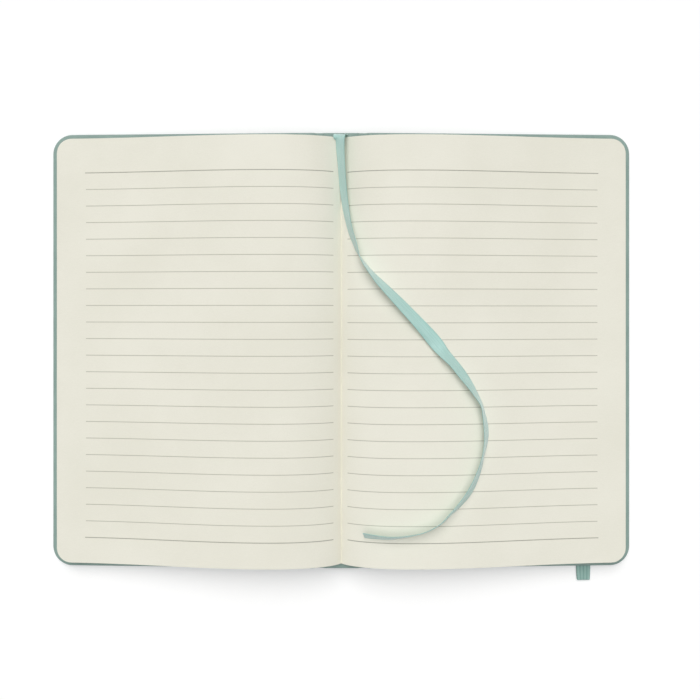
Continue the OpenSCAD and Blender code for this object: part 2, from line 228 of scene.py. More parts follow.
def leaf_grid(part, rows, cols, shift=0, skew=0):
    """Upper faces of leaves that fan between the underside and the open page.

    part is each leaf's place from 0, lowest, to 1, top. A leaf's line is that mix of the two outlines at
    equal shares of their lengths, closer together near the gutter by a power. Across, it is the line
    carried along Y, and its half height shrinks over the last page radius as a circle does. shift moves
    a leaf's fore-edge out and skew moves it towards the head, both in millimetres.
    """
    part = np.atleast_1d(np.asarray(part, float))[:, None]
    shift, skew = (np.broadcast_to(np.asarray(v, float), part.shape[:1])[:, None] for v in (shift, skew))
    turn = np.linspace(0, math.pi / 2, 10)
    near = PAGE_R * (1 - np.cos(turn))
    crowded = np.linspace(0, 1, rows) ** GUTTER_POWER
    reach = (1 - part) * length_of(UNDER_LINE) + part * length_of(TOP_LINE)
    share = np.concatenate([
        crowded[None, :-1] * (1 - PAGE_R / reach), 1 - near[None, ::-1] / reach,
    ], axis=1)
    line = (1 - part)[..., None] * along(UNDER_LINE, share) + part[..., None] * along(TOP_LINE, share)
    line[..., 0] += shift * share**2
    half = np.concatenate([
        np.full(rows - 1, PAGE_H / 2), PAGE_H / 2 - PAGE_R + PAGE_R * np.sin(turn[::-1]),
    ])
    across = np.linspace(-1, 1, cols)
    grid = np.zeros(line.shape[:2] + (cols, 3))
    grid[..., 0] = line[..., None, 0]
    grid[..., 2] = line[..., None, 1]
    grid[..., 1] = half[None, :, None] * across + skew[..., None]
    return grid


def below(grid, depth):
    """The same grid moved down by depth along the normal of each leaf's line."""
    along_x = np.gradient(grid[..., 0], axis=1)
    along_z = np.gradient(grid[..., 2], axis=1)
    size = np.hypot(along_x, along_z)
    return grid + depth * np.stack([along_z / size, np.zeros_like(size), -along_x / size], -1)


# Shaders: maths on wires, one method for any other node, and one function for each kind of material
def paint(red, green, blue):
    """A colour as a picture shows it, from 0 to 255, as the linear values that a shader takes."""
    c = np.array([red, green, blue]) / 255
    return tuple(np.where(c <= 0.04045, c / 12.92, ((c + 0.055) / 1.055) ** 2.4)) + (1.0,)


class Wire:
    """A socket in a node tree. An operator on wires and numbers adds the Math node for it."""

    def __init__(self, nodes, socket):
        self.nodes, self.socket = nodes, socket

    def math(self, operation, *values):
        return self.nodes.node("ShaderNodeMath", {"operation": operation}, dict(enumerate(values)))

    def __add__(self, other):
        return self.math("ADD", self, other)

    def __radd__(self, other):
        return self.math("ADD", other, self)

    def __sub__(self, other):
        return self.math("SUBTRACT", self, other)

    def __rsub__(self, other):
        return self.math("SUBTRACT", other, self)

    def __mul__(self, other):
        return self.math("MULTIPLY", self, other)

    def __rmul__(self, other):
        return self.math("MULTIPLY", other, self)

    def __truediv__(self, other):
        return self.math("DIVIDE", self, other)

    def __pow__(self, other):
        return self.math("POWER", self, other)

    def __abs__(self):
        return self.math("ABSOLUTE", self)

    def fraction(self):
        return self.math("FRACT", self)

    def whole(self):
        return self.math("FLOOR", self)

    def above(self, other):
        return self.math("GREATER_THAN", self, other)

    def below(self, other):
        return self.math("LESS_THAN", self, other)

    def least(self, other):
        return self.math("MINIMUM", self, other)


class Nodes:
    """A node tree that starts empty, with its output node."""

    def __init__(self, tree, output):
        self.tree = tree
        tree.nodes.clear()
        self.surface = tree.nodes.new(output).inputs["Surface"]

    def feed(self, socket, value):
        """Sets a socket to a value, or links it to a wire."""
        if isinstance(value, Wire):
            self.tree.links.new(value.socket, socket)
        else:
            socket.default_value = value

    def node(self, kind, settings=None, values=None, out=0):
        """Any node: its settings first, then the values or wires of its sockets."""
        made = self.tree.nodes.new(kind)
        for key, value in (settings or {}).items():
            setattr(made, key, value)
        for key, value in (values or {}).items():
            self.feed(made.inputs[key], value)
        return Wire(self, made.outputs[out])

    def shown(self):
        """1 for rays from the camera, in reflections and through clear things, and 0 for other light."""
        ray = self.node("ShaderNodeLightPath").socket.node
        camera, glossy, through = (
            Wire(self, ray.outputs[f"Is {kind} Ray"]) for kind in ("Camera", "Glossy", "Transmission")
        )
        return (camera + glossy + through).least(1)


class Finish(Nodes):
    """A material around one Principled shader. What is the same all over is set on its own sockets."""

    def __init__(self, name, uniform):
        self.material = bpy.data.materials.new(name)
        self.material.use_nodes = True
        super().__init__(self.material.node_tree, "ShaderNodeOutputMaterial")
        self.shader = self.tree.nodes.new("ShaderNodeBsdfPrincipled")
        self.feed(self.surface, Wire(self, self.shader.outputs[0]))
        self.wear(uniform)

    def wear(self, values):
        """Sets or links the shader's sockets."""
        for socket, value in values.items():
            self.feed(self.shader.inputs[socket], value)

    def mix(self, share, first, second):
        """A colour between two colours."""
        return self.node("ShaderNodeMix", {"data_type": "RGBA"}, {0: share, 6: first, 7: second}, 2)

    def stretch(self, vector, factors):
        """A place multiplied axis by axis."""
        return self.node("ShaderNodeVectorMath", {"operation": "MULTIPLY"}, {0: vector, 1: factors})

    def place(self):
        """The piece's own place, in millimetres."""
        return self.stretch(self.node("ShaderNodeTexCoord", out="Object"), (1 / MM,) * 3)

    def flat(self):
        """The flat place of the piece's cloth or strip, in millimetres, from its UV map."""
        return self.stretch(self.node("ShaderNodeUVMap", {"uv_map": "flat"}), (FLAT_SCALE,) * 3)

    def split(self, vector):
        """X, Y and Z of a place."""
        made = self.node("ShaderNodeSeparateXYZ", None, {0: vector}).socket.node
        return [Wire(self, socket) for socket in made.outputs]

    def noise(self, vector, pitch, detail=2.0, rough=0.5):
        """Soft noise about 0.5 whose patches are pitch millimetres wide."""
        values = {"Vector": vector, "Scale": 1 / pitch, "Detail": detail, "Roughness": rough}
        return self.node("ShaderNodeTexNoise", None, values)

    def fade(self, value, low, high):
        """0 at low and 1 at high, eased between them."""
        values = {"Value": value, "From Min": low, "From Max": high}
        return self.node("ShaderNodeMapRange", {"interpolation_type": "SMOOTHSTEP"}, values)

    def bump(self, height, depth):
        """Relief of depth millimetres from a height between 0 and 1."""
        return self.node("ShaderNodeBump", None, {"Height": height, "Distance": depth * MM})


def paper(name, light, dark, lines=False, rough=0.62):
    """Uncoated paper: clouded tone, fine fibres one way, a felt-like relief, and ruled lines if asked."""
    finish = Finish(name, {"IOR": 1.45, "Specular IOR Level": 0.35})
    place = finish.place()
    cloud = finish.noise(place, 38, 3)
    speck = finish.noise(place, 0.5, 3, 0.65)
    fibre = finish.noise(finish.stretch(place, (0.35, 1.6, 1)), 0.7, 3, 0.6)
    tone = finish.fade(0.5 * cloud + 0.3 * speck + 0.2 * fibre, 0.35, 0.65)
    color = finish.mix(tone, paint(*dark), paint(*light))
    if lines:
        color = ruled(finish, place, speck, color)
    finish.wear({
        "Base Color": color,
        "Roughness": rough + 0.12 * (fibre - 0.5) + 0.08 * (cloud - 0.5),
        "Normal": finish.bump(0.6 * speck + 0.4 * fibre, 0.035),
    })
    return finish


# Ruled lines: their distance and number, then for the front and the back page the first one's place
# and how far they reach from the gutter
LINE_PITCH, LINE_COUNT = 8.0, 23
LINE_TOP, LINE_START, LINE_END = (85.87, 85.63), (3.75, 3.0), (123.3, 123.75)
END_LINE_REACH = 0.45
END_SOFTNESS, EDGE_SOFTNESS = 0.05, 0.06
LINE_WIDTH, HEAD_LINE_WIDTH = 0.3, 0.38
LINE_GREY, HEAD_LINE_GREY = (170, 167, 152), (151, 148, 135)


def ruled(finish, place, speck, color):
    """Printed lines across the page: a line is where Y is near a whole number of pitches below the
    first.

    The first and the last are darker, thicker and reach a little further out, and the ink breaks up
    slightly on the paper's grain.
    """
    x, y, _ = finish.split(place)
    back = x.above(0)
    step = (LINE_TOP[0] + (LINE_TOP[1] - LINE_TOP[0]) * back - y) / LINE_PITCH
    number = (step + 0.5).whole()
    away = abs((step - number) * LINE_PITCH)
    end = (number.below(0.5) + number.above(LINE_COUNT - 1.5)).least(1)
    on_page = number.above(-0.5) * number.below(LINE_COUNT - 0.5)
    low = LINE_START[0] + (LINE_START[1] - LINE_START[0]) * back
    high = LINE_END[0] + (LINE_END[1] - LINE_END[0]) * back + END_LINE_REACH * end
    across = abs(x)
    within = finish.fade(across - low, -END_SOFTNESS, END_SOFTNESS)
    within = within * finish.fade(high - across, -END_SOFTNESS, END_SOFTNESS)
    half = LINE_WIDTH / 2 + (HEAD_LINE_WIDTH - LINE_WIDTH) / 2 * end
    ink = 1 - finish.fade(away - half, -EDGE_SOFTNESS, EDGE_SOFTNESS)
    ink = ink * within * on_page * (0.75 + 0.4 * speck).least(1)
    return finish.mix(ink, color, finish.mix(end, paint(*LINE_GREY), paint(*HEAD_LINE_GREY)))


# Distances of the threads: of the cover cloth, across the elastic, and in the satin along and across
CLOTH_PITCH, CROSS_PITCH, WARP_PITCH, PICK_PITCH = 0.42, 0.5, 0.16, 0.3
# The ribbon's selvedge begins and ends this far inside its edge
SELVEDGE = (0.75, 0.45)


def book_cloth(name, light, dark):
    """Coated book cloth: a fine plain weave under a soft skin, and mottled."""
    finish = Finish(name, {
        "IOR": 1.47, "Specular IOR Level": 0.4, "Sheen Weight": 0.08, "Sheen Roughness": 0.5,
    })
    flat = finish.flat()
    sway = finish.noise(flat, 3.0, 2)
    x, y, _ = finish.split(flat)
    warp = x / CLOTH_PITCH + 0.35 * sway
    weft = y / CLOTH_PITCH + 0.35 * sway
    over = ((warp.whole() + weft.whole()) / 2).fraction().above(0.25)
    round_warp = 1 - (2 * warp.fraction() - 1) ** 2
    round_weft = 1 - (2 * weft.fraction() - 1) ** 2
    thread = over * round_warp + (1 - over) * round_weft
    cloud = finish.noise(flat, 14, 4, 0.6)
    grit = finish.noise(flat, 0.25, 3, 0.7)
    tone = finish.fade(0.55 * cloud + 0.25 * thread + 0.2 * grit, 0.3, 0.75)
    finish.wear({
        "Base Color": finish.mix(tone, paint(*dark), paint(*light)),
        "Roughness": 0.56 + 0.14 * (cloud - 0.5) - 0.08 * thread,
        "Normal": finish.bump(0.7 * thread + 0.3 * grit, 0.05),
    })
    return finish


def elastic(name, light, dark):
    """Woven elastic: ribs along it, each crossed by fine threads, with a dark line between the ribs."""
    finish = Finish(name, {
        "IOR": 1.45, "Specular IOR Level": 0.3, "Sheen Weight": 0.25, "Sheen Roughness": 0.4,
    })
    flat = finish.flat()
    run, across, _ = finish.split(flat)
    ribs = across / RIB_PITCH
    rib = 1 - (2 * ribs.fraction() - 1) ** 2
    cross = 1 - (2 * (run / CROSS_PITCH + 0.5 * ribs.whole()).fraction() - 1) ** 2
    fuzz = finish.noise(flat, 0.2, 3, 0.7)
    tone = finish.fade(0.5 * rib + 0.3 * cross + 0.3 * fuzz, 0.2, 0.95)
    finish.wear({
        "Base Color": finish.mix(tone, paint(*dark), paint(*light)),
        "Roughness": 0.62 + 0.2 * (fuzz - 0.5),
        "Normal": finish.bump(0.5 * cross + 0.2 * fuzz + 0.3 * rib, 0.08),
    })
    return finish


def satin(name, light, dark):
    """Satin ribbon: close warp threads along it that catch the light, with faint lengthwise bands."""
    finish = Finish(name, {
        "IOR": 1.45, "Specular IOR Level": 0.35, "Sheen Weight": 0.6, "Sheen Roughness": 0.5,
    })
    flat = finish.flat()
    run, across, _ = finish.split(flat)
    warp = 1 - (2 * (across / WARP_PITCH + 0.3 * finish.noise(flat, 2.5)).fraction() - 1) ** 2
    streak = finish.noise(finish.stretch(flat, (0.04, 1, 1)), 0.55, 3, 0.6)
    stagger = 0.5 * (across / (2 * WARP_PITCH)).whole()
    pick = 1 - (2 * (run / PICK_PITCH + stagger).fraction() - 1) ** 2
    edge = finish.fade(abs(across), *(RIBBON_W / 2 - inset for inset in SELVEDGE))
    tone = finish.fade(0.65 * streak + 0.2 * warp + 0.1 * pick - 0.12 * edge, 0.25, 0.7)
    finish.wear({
        "Base Color": finish.mix(tone, paint(*dark), paint(*light)),
        "Roughness": 0.46 + 0.18 * (streak - 0.5) + 0.12 * edge,
        "Normal": finish.bump(0.6 * warp + 0.25 * pick + 0.3 * edge, 0.03),
    })
    return finish


def pulp_board(name, light, dark):
    """Grey board: pressed pulp with darker flecks."""
    finish = Finish(name, {"IOR": 1.45, "Specular IOR Level": 0.25})
    place = finish.place()
    fleck = finish.noise(place, 0.8, 4, 0.7)
    layer = finish.noise(finish.stretch(place, (0.2, 0.2, 2)), 0.6, 3)
    tone = finish.fade(0.6 * fleck + 0.4 * layer, 0.35, 0.65)
    finish.wear({
        "Base Color": finish.mix(tone, paint(*dark), paint(*light)),
        "Roughness": 0.8 + 0.1 * (fleck - 0.5),
        "Normal": finish.bump(fleck, 0.06),
    })
    return finish


page_paper = paper("page_paper", (233, 231, 218), (227, 225, 211), lines=True)
leaf_paper = paper("leaf_paper", (238, 233, 219), (226, 220, 203))
end_paper = paper("end_paper", (236, 233, 222), (228, 224, 211), rough=0.58)
lining_paper = paper("lining_paper", (224, 219, 205), (206, 200, 184), rough=0.75)
cloth = book_cloth("cover_cloth", (142, 165, 158), (122, 146, 139))
band_weave = elastic("band_weave", (148, 180, 172), (110, 147, 139))
ribbon_satin = satin("ribbon_satin", (182, 217, 210), (153, 198, 190))
board = pulp_board("grey_board", (168, 160, 146), (134, 127, 115))


# Ribbon: its first stops are glued behind the leaves, and the others were chosen along its course in the
# photograph. Each is a share of the page's reach, a share of its half height, a height above the page,
# and the turn and lean of the width in degrees.
GLUE_GAP, HEAD_GAP = 0.07, 0.1
RIBBON_GLUED = [
    [0, 1 - (RIBBON_GLUE - HEAD_GAP) * i / 3 / (PAGE_H / 2), RIBBON_T / 2 + GLUE_GAP - GUTTER_T, 180, 0]
    for i in (3, 2, 1, 0)
]
RIBBON_ROUTE = np.array(RIBBON_GLUED + [
    [0.000, 1.013, -0.45, 180, 0], [0.000, 1.015, 1.50, 176, -8], [-0.004, 1.008, 3.30, 174, -18],
    [-0.004, 0.990, 4.75, 172, -47], [-0.003, 0.938, 4.80, 180, -55], [0.001, 0.859, 4.85, 184, -60],
    [0.006, 0.772, 3.00, 186, -61], [0.013, 0.693, 1.95, 188, -64], [0.021, 0.626, 2.50, 191, -68],
    [0.032, 0.560, 2.80, 195, -72], [0.046, 0.504, 3.10, 199, -76], [0.057, 0.461, 3.40, 204, -84],
    [0.073, 0.419, 3.65, 211, -100], [0.097, 0.373, 3.60, 217, -108], [0.125, 0.328, 3.35, 222, -119],
    [0.155, 0.286, 3.05, 224, -127], [0.196, 0.229, 2.65, 224, -136], [0.239, 0.168, 2.25, 223, -143],
    [0.281, 0.107, 1.70, 222, -153], [0.321, 0.045, 0.85, 220, -167], [0.349, -0.002, 2.00, 221, -145],
    [0.380, -0.047, 2.50, 221, -133], [0.410, -0.097, 2.50, 218, -132], [0.437, -0.146, 2.80, 214, -124],
    [0.461, -0.197, 3.15, 210, -113], [0.480, -0.244, 3.30, 201, -106], [0.489, -0.297, 3.15, 191, -111],
    [0.496, -0.357, 3.00, 184, -117], [0.495, -0.412, 3.10, 173, -114], [0.485, -0.480, 3.25, 167, -109],
    [0.469, -0.556, 3.05, 159, -116], [0.442, -0.635, 2.85, 149, -122], [0.410, -0.691, 3.05, 139, -118],
    [0.370, -0.745, 3.25, 134, -111], [0.332, -0.791, 3.35, 122, -107], [0.269, -0.829, 3.40, 105, -107],
    [0.171, -0.849, 3.45, 93, -114], [0.077, -0.844, 3.20, 88, -122],
])
COURSE_STEPS = 10


def smooth_course(stops, steps):
    """A course through all stops: on each piece a cubic of four neighbouring stops, the slope at a stop
    being half the way between its neighbours."""
    wide = np.vstack([stops[:1], stops, stops[-1:]])
    t = np.linspace(0, 1, steps, endpoint=False)[None, :, None]
    a, b, c, d = (wide[k : len(wide) - 3 + k, None] for k in range(4))
    bend = (2 * a - 5 * b + 4 * c - d) * t**2 / 2 + (3 * b - a - 3 * c + d) * t**3 / 2
    return np.vstack([(b + (c - a) * t / 2 + bend).reshape(-1, stops.shape[1]), stops[-1:]])


def unit(v):
    """Vectors of the same direction and length 1."""
    return v / np.linalg.norm(v, axis=-1, keepdims=True)


def page_z(x):
    """Height of the open page at a distance from the gutter."""
    return np.interp(np.abs(x), TOP_LINE[:, 0], TOP_LINE[:, 1])


def strip(path, side_way, outline, narrowing=0):
    """A closed strip: a flat outline carried along a path, across along side_way and thick along the
    cross product of the course and side_way, with both ends closed by the outline's own middle line.

    outline is the upper line of the section from one edge to the other, as place across and height; the
    lower line is the same mirrored. narrowing is the share of its width that the strip loses at each
    point of the path. Gives points, faces and each vertex's flat place.
    """
    course = unit(np.gradient(path, axis=0))
    across = unit(side_way - course * (side_way * course).sum(-1, keepdims=True))
    up = np.cross(course, across)
    loop = np.vstack([outline, outline[::-1] * [1, -1]])
    wide = across * (1 - np.broadcast_to(narrowing, len(path)))[:, None]
    points = path[:, None] + wide[:, None] * loop[None, :, :1] + up[:, None] * loop[None, :, 1:]
    rows, cols = len(path), len(loop)
    at = np.arange(rows * cols).reshape(rows, cols)
    walls = quads(np.hstack([at, at[:, :1]]))
    half = cols // 2
    first = quads(np.stack([at[0, :half], at[0, ::-1][:half]]))
    last = quads(np.stack([at[-1, :half], at[-1, ::-1][:half]]), turned=True)
    run = np.concatenate([[0], np.cumsum(np.linalg.norm(np.diff(path, axis=0), axis=1))])
    flat = np.stack(np.broadcast_arrays(run[:, None], loop[None, :, 0]), -1)
    return points, np.concatenate([walls, first, last]), flat


def ribbon_outline():
    """Upper line of the ribbon's section: flat, thinner at the selvedges, which are rounded."""
    across = np.array([-1, -0.985, -0.95, -0.88, -0.5, 0, 0.5, 0.88, 0.95, 0.985, 1]) * RIBBON_W / 2
    height = np.array([0.25, 0.7, 0.95, 0.85, 0.85, 0.85, 0.85, 0.85, 0.95, 0.7, 0.25]) * RIBBON_T / 2
    return np.stack([across, height], -1)


stops = RIBBON_ROUTE.copy()
stops[:, 0] *= PAGE_W
stops[:, 1] *= PAGE_H / 2
stops[:, 2] += page_z(stops[:, 0])
course = smooth_course(stops, COURSE_STEPS)
turn, lean = np.radians(course[:, 3]), np.radians(course[:, 4])
width_way = np.stack([np.cos(turn) * np.cos(lean), np.sin(turn) * np.cos(lean), np.sin(lean)], -1)
points, faces, flat = strip(course[:, :3], width_way, ribbon_outline())
ribbon = put("ribbon", points, faces[:, ::-1], ribbon_satin, spread=flat)
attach(ribbon, ROOT)
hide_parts("ribbon_bookmark")


# Leaves: how many show on a side, how thick they are and how many make one folded section, then how far
# single leaves and whole sections stray out at the fore-edge and towards the head
LEAVES, LEAF_T, SIGNATURE = 48, 0.088, 8
LEAF_SHIFT, FOLD_SHIFT, LEAF_SKEW, FOLD_SKEW = 0.07, 0.06, 0.05, 0.1
WAVE_DEPTH = 0.06


def page_wave(x, y, side):
    """Soft waves of the open page: a sine along X times a sine along Y, plus a slanting sine, lifted so
    that the lowest is about zero. They fade in from the gutter."""
    rise = np.sin(x / 23 + 0.6 * side) * np.sin(y / 31 + side) + 0.6 * np.sin(x / 41 - y / 27 + 2)
    return WAVE_DEPTH * (rise + 1.6) * np.clip((x - 20) / 40, 0, 1)


rng = np.random.default_rng(7)
for side, word in SIDES.items():
    level = (np.arange(LEAVES) + 0.5) / (LEAVES + 1)
    fold = np.arange(LEAVES) // SIGNATURE
    folds = fold.max() + 1
    shift = rng.normal(0, LEAF_SHIFT, LEAVES) + rng.normal(0, FOLD_SHIFT, folds)[fold]
    skew = rng.normal(0, LEAF_SKEW, LEAVES) + rng.normal(0, FOLD_SKEW, folds)[fold]
    upper = leaf_grid(level, 40, 9, shift, skew)
    points, faces = closed_sheets(upper, below(upper, LEAF_T))
    leaves = put(f"{word}_leaves", points, faces, leaf_paper, side)
    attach(leaves, ROOT)
    upper = leaf_grid(1, 110, 61)
    upper[..., 2] += page_wave(upper[..., 0], upper[..., 1], side)
    points, faces = closed_sheets(upper, below(upper, LEAF_T))
    page = put(f"{word}_page", points, faces, page_paper, side)
    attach(page, ROOT)
    if side > 0:
        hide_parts("text_block")
        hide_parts("text_block")
    upper = leaf_grid(0, 60, 21)
    upper[..., 2] -= AIR
    points, faces = closed_sheets(upper, below(upper, PAPER_T - 2 * AIR))
    flyleaf = put(f"{word}_endleaf", points, faces, end_paper, side)
    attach(flyleaf, ROOT)
    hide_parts(f"{word}_flyleaf")


# Covers: cloth and pasted endpaper are worked out in the back cover's own frame
def ease(value, low, high):
    """0 at low and 1 at high, smoothly between them."""
    t = np.clip((value - low) / (high - low), 0, 1)
    return t * t * (3 - 2 * t)


def on_cover(x, y, level):
    """Places from the back cover's own frame: out from the hinge line, along it, and up. Outside the
    hinge the cover slopes down by its tilt, and on the spine side it lies level."""
    slope = np.where(x > 0, TILT, 0.0)
    out = HINGE[0] + x * np.cos(slope) + level * np.sin(slope)
    return np.stack([out, y, HINGE[1] - x * np.sin(slope) + level * np.cos(slope)], -1)


# Rounding of the wrapped edges, insets of the skin's rows on the outer and on the inner face, and depth
# of the pressed groove
EDGE_R, GROOVE_DEPTH = 0.75, 0.45
SKIN_OUT, SKIN_NEAR, SKIN_MIDDLE, SKIN_IN = 3.5, 2.0, 4.5, 8.0
# Distances from the hinge between which the groove ends, and between which the inner face comes down
# from the board and from the spine to the groove, where its two layers of cloth lie GROOVE_GAP apart
GROOVE_END, BOARD_FALL, SPINE_FALL, GROOVE_GAP = (2.2, 3.3), (1.2, 3.5), (1.1, 3.5), 0.1
# Corner facets of the cloth and of the pasted sheet, and width of the soft step over the turned-in cloth
CLOTH_FACETS, SHEET_FACETS, STEP_W = 15, 10, 1.2


def skin_levels(x):
    """Outer level and thickness of the wrapped cover at a distance from the hinge, over board, groove
    and spine."""
    groove = ease(x, -GROOVE_END[1], -GROOVE_END[0]) * (1 - ease(x, *GROOVE_END))
    low = -CLOTH_T / 2 + GROOVE_DEPTH * groove
    thick = BOARD_T + 2 * CLOTH_T - (BOARD_T - GROOVE_GAP) * (1 - ease(x, *BOARD_FALL))
    return low, thick + (SPINE_T - GROOVE_GAP) * (1 - ease(x, -SPINE_FALL[1], -SPINE_FALL[0]))


def quarter_round():
    """Rounding of a wrapped edge as a quarter circle: inset and height, from the outer face to the edge."""
    quarter = np.radians(np.linspace(0, 90, 6))
    return np.stack([EDGE_R * (1 - np.sin(quarter)), EDGE_R * (1 - np.cos(quarter))], -1)


def edge_profile():
    """Section round a cover's edge: inset from the edge, share of the thickness that a point hangs from,
    and offset from there."""
    low = np.insert(quarter_round(), 1, 0, axis=1)
    high = low[::-1] * [1, 0, -1] + [0, 1, 0]
    inner_face = [(inset, 1, 0) for inset in (SKIN_NEAR, SKIN_MIDDLE, SKIN_IN)]
    return np.vstack([[(SKIN_NEAR, 0, 0)], low, [(0, 0.5, 0)], high, inner_face])


def cover_outline(head, turn, fore):
    """Border of a cover along head, fore-edge and tail, with its inward directions.

    head holds X of the points on the head, turn the angles of those on the corner's circle and fore Y of
    those on the fore-edge. The tail mirrors the head.
    """
    edge_x = np.concatenate([head, REACH - COVER_R + COVER_R * np.cos(turn)])
    edge_y = np.concatenate([
        np.full(len(head), COVER_H / 2), COVER_H / 2 - COVER_R + COVER_R * np.sin(turn),
    ])
    in_x = np.concatenate([np.zeros(len(head)), -np.cos(turn)])
    in_y = np.concatenate([-np.ones(len(head)), -np.sin(turn)])
    outline = np.stack([
        np.concatenate([edge_x, np.full(len(fore), REACH), edge_x[::-1]]),
        np.concatenate([edge_y, fore, -edge_y[::-1]]),
    ], -1)
    inward = np.stack([
        np.concatenate([in_x, -np.ones(len(fore)), in_x[::-1]]),
        np.concatenate([in_y, np.zeros(len(fore)), -in_y[::-1]]),
    ], -1)
    return outline, inward


def cover_skin(name, side, slots):
    """Cloth of one cover as an open skin, thickened afterwards.

    The outer face is a grid of stations out from the spine by shares of the height. Its border runs
    along head, fore-edge and tail, and from it a profile goes round the edge and in over the turned-in
    margin: a flat band, a quarter round, the edge, a quarter round and a flat band again. Grid cells
    inside the slots are left out.
    """
    slot_x = BAND_X + np.array([-1, 1]) * (BAND_W / 2 + SLOT_GAP)
    head = np.unique(np.concatenate([
        np.linspace(-BOARD_X, BOARD_X + 1, 19), np.linspace(8, 100, 12), slot_x, [118, REACH - COVER_R],
    ]))
    turn = np.radians(np.linspace(90, 0, CLOTH_FACETS)[1:])
    inner_half = COVER_H / 2 - SKIN_OUT
    ends = np.array([1, 0.97, (SLOT_Y + SLOT_HALF) / inner_half, (SLOT_Y - SLOT_HALF) / inner_half])
    shares = np.concatenate([ends, np.linspace(0.8, -0.8, 17), -ends[::-1]])
    rows, cols = len(head) + len(turn), len(shares)
    near_x = np.concatenate([head, REACH - COVER_R + (COVER_R - SKIN_OUT) * np.cos(turn)])
    half_y = np.concatenate([
        np.full(len(head), inner_half), COVER_H / 2 - COVER_R + (COVER_R - SKIN_OUT) * np.sin(turn),
    ])
    grid_x = np.broadcast_to(near_x[:, None], (rows, cols))
    grid_y = half_y[:, None] * shares[None]
    grid_z = np.broadcast_to(skin_levels(near_x)[0][:, None], (rows, cols))
    grid = np.stack([grid_x, grid_y, grid_z], -1)
    inner = grid.reshape(-1, 3)
    at = np.arange(rows * cols).reshape(rows, cols)
    border = np.concatenate([at[:, 0], at[-1, 1:-1], at[::-1, -1]])
    outline, inward = cover_outline(head, turn, grid_y[-1, 1:-1])
    profile = edge_profile()
    low, thick = skin_levels(outline[:, 0])
    # Where the wall is thin the quarter rounds shrink with it
    shrink = np.minimum(1, thick / (BOARD_T + 2 * CLOTH_T))[:, None]
    level = low[:, None] + profile[None, :, 1] * thick[:, None] + profile[None, :, 2] * shrink
    ring = outline[:, None] + inward[:, None] * profile[None, :, :1]
    ring = np.concatenate([ring, level[..., None]], -1)
    ring_at = rows * cols + np.arange(len(outline) * len(profile)).reshape(len(outline), len(profile))
    ring_at = np.hstack([border[:, None], ring_at])
    cells = quads(at)
    if slots:
        x, y, _ = inner[cells].mean(1).T
        hole = (abs(x - BAND_X) < BAND_W / 2) & (abs(abs(y) - SLOT_Y) < SLOT_HALF)
        cells = cells[~hole]
    faces = np.concatenate([cells, quads(ring_at, turned=True)])
    # Flat place of the cloth: the outline pushed out by the length run along the profile
    whole_ring = np.concatenate([inner[border][:, None], ring], 1)
    step = np.linalg.norm(np.diff(whole_ring, axis=1), axis=2)
    spread = outline[:, None] + inward[:, None] * (SKIN_OUT - np.cumsum(step, 1)[..., None])
    points = np.concatenate([inner, ring.reshape(-1, 3)])
    flat = np.concatenate([inner[:, :2], spread.reshape(-1, 2)])
    return put(name, on_cover(*points.T), faces, cloth, side, flat)


def spine_skin():
    """Cloth of the spine: a C-shaped line round head and tail, carried across from groove to groove."""
    across = np.linspace(-SPINE_W / 2, SPINE_W / 2, 15)
    bottom = quarter_round()
    tall = SPINE_T + 2 * CLOTH_T
    top = bottom[::-1] * [1, -1] + [0, tall]
    inner_face = [(inset, tall) for inset in (SKIN_NEAR, SKIN_MIDDLE, SKIN_IN)]
    half = np.vstack([[(SKIN_OUT, 0), (SKIN_NEAR, 0)], bottom, [(0, tall / 2)], top, inner_face])
    line = np.vstack([half[::-1] * [-1, 1] + [COVER_H / 2, 0], half - [COVER_H / 2, 0]])
    run = np.concatenate([[0], np.cumsum(np.linalg.norm(np.diff(line, axis=0), axis=1))])
    grid = np.zeros((len(across), len(line), 3))
    grid[..., 0] = across[:, None]
    grid[..., 1] = line[None, :, 0]
    grid[..., 2] = SPINE_LIFT + line[None, :, 1]
    flat = np.stack(np.broadcast_arrays(across[:, None], -run[None]), -1)
    faces = quads(np.arange(grid.shape[0] * grid.shape[1]).reshape(grid.shape[:2]))
    return put("spine_wrap", grid, faces, cloth, 1, flat)


# Line of the pasted endpaper over the groove, as X and height above the table, and how far it may stand
# over the start of the board's part
BRIDGE = np.array([
    (5.0, 8.62), (6.2, 8.44), (7.4, 8.4), (8.5, 8.0), (9.5, 7.6), (10.5, 7.48), (11.5, 7.6),
    (12.5, 8.05), (13.3, 8.7),
])
BRIDGE_RISE = 0.2
# Share of the half height from which the pasted endpaper has close rows, for the step near head and tail
CLOSE_ROWS = 0.84


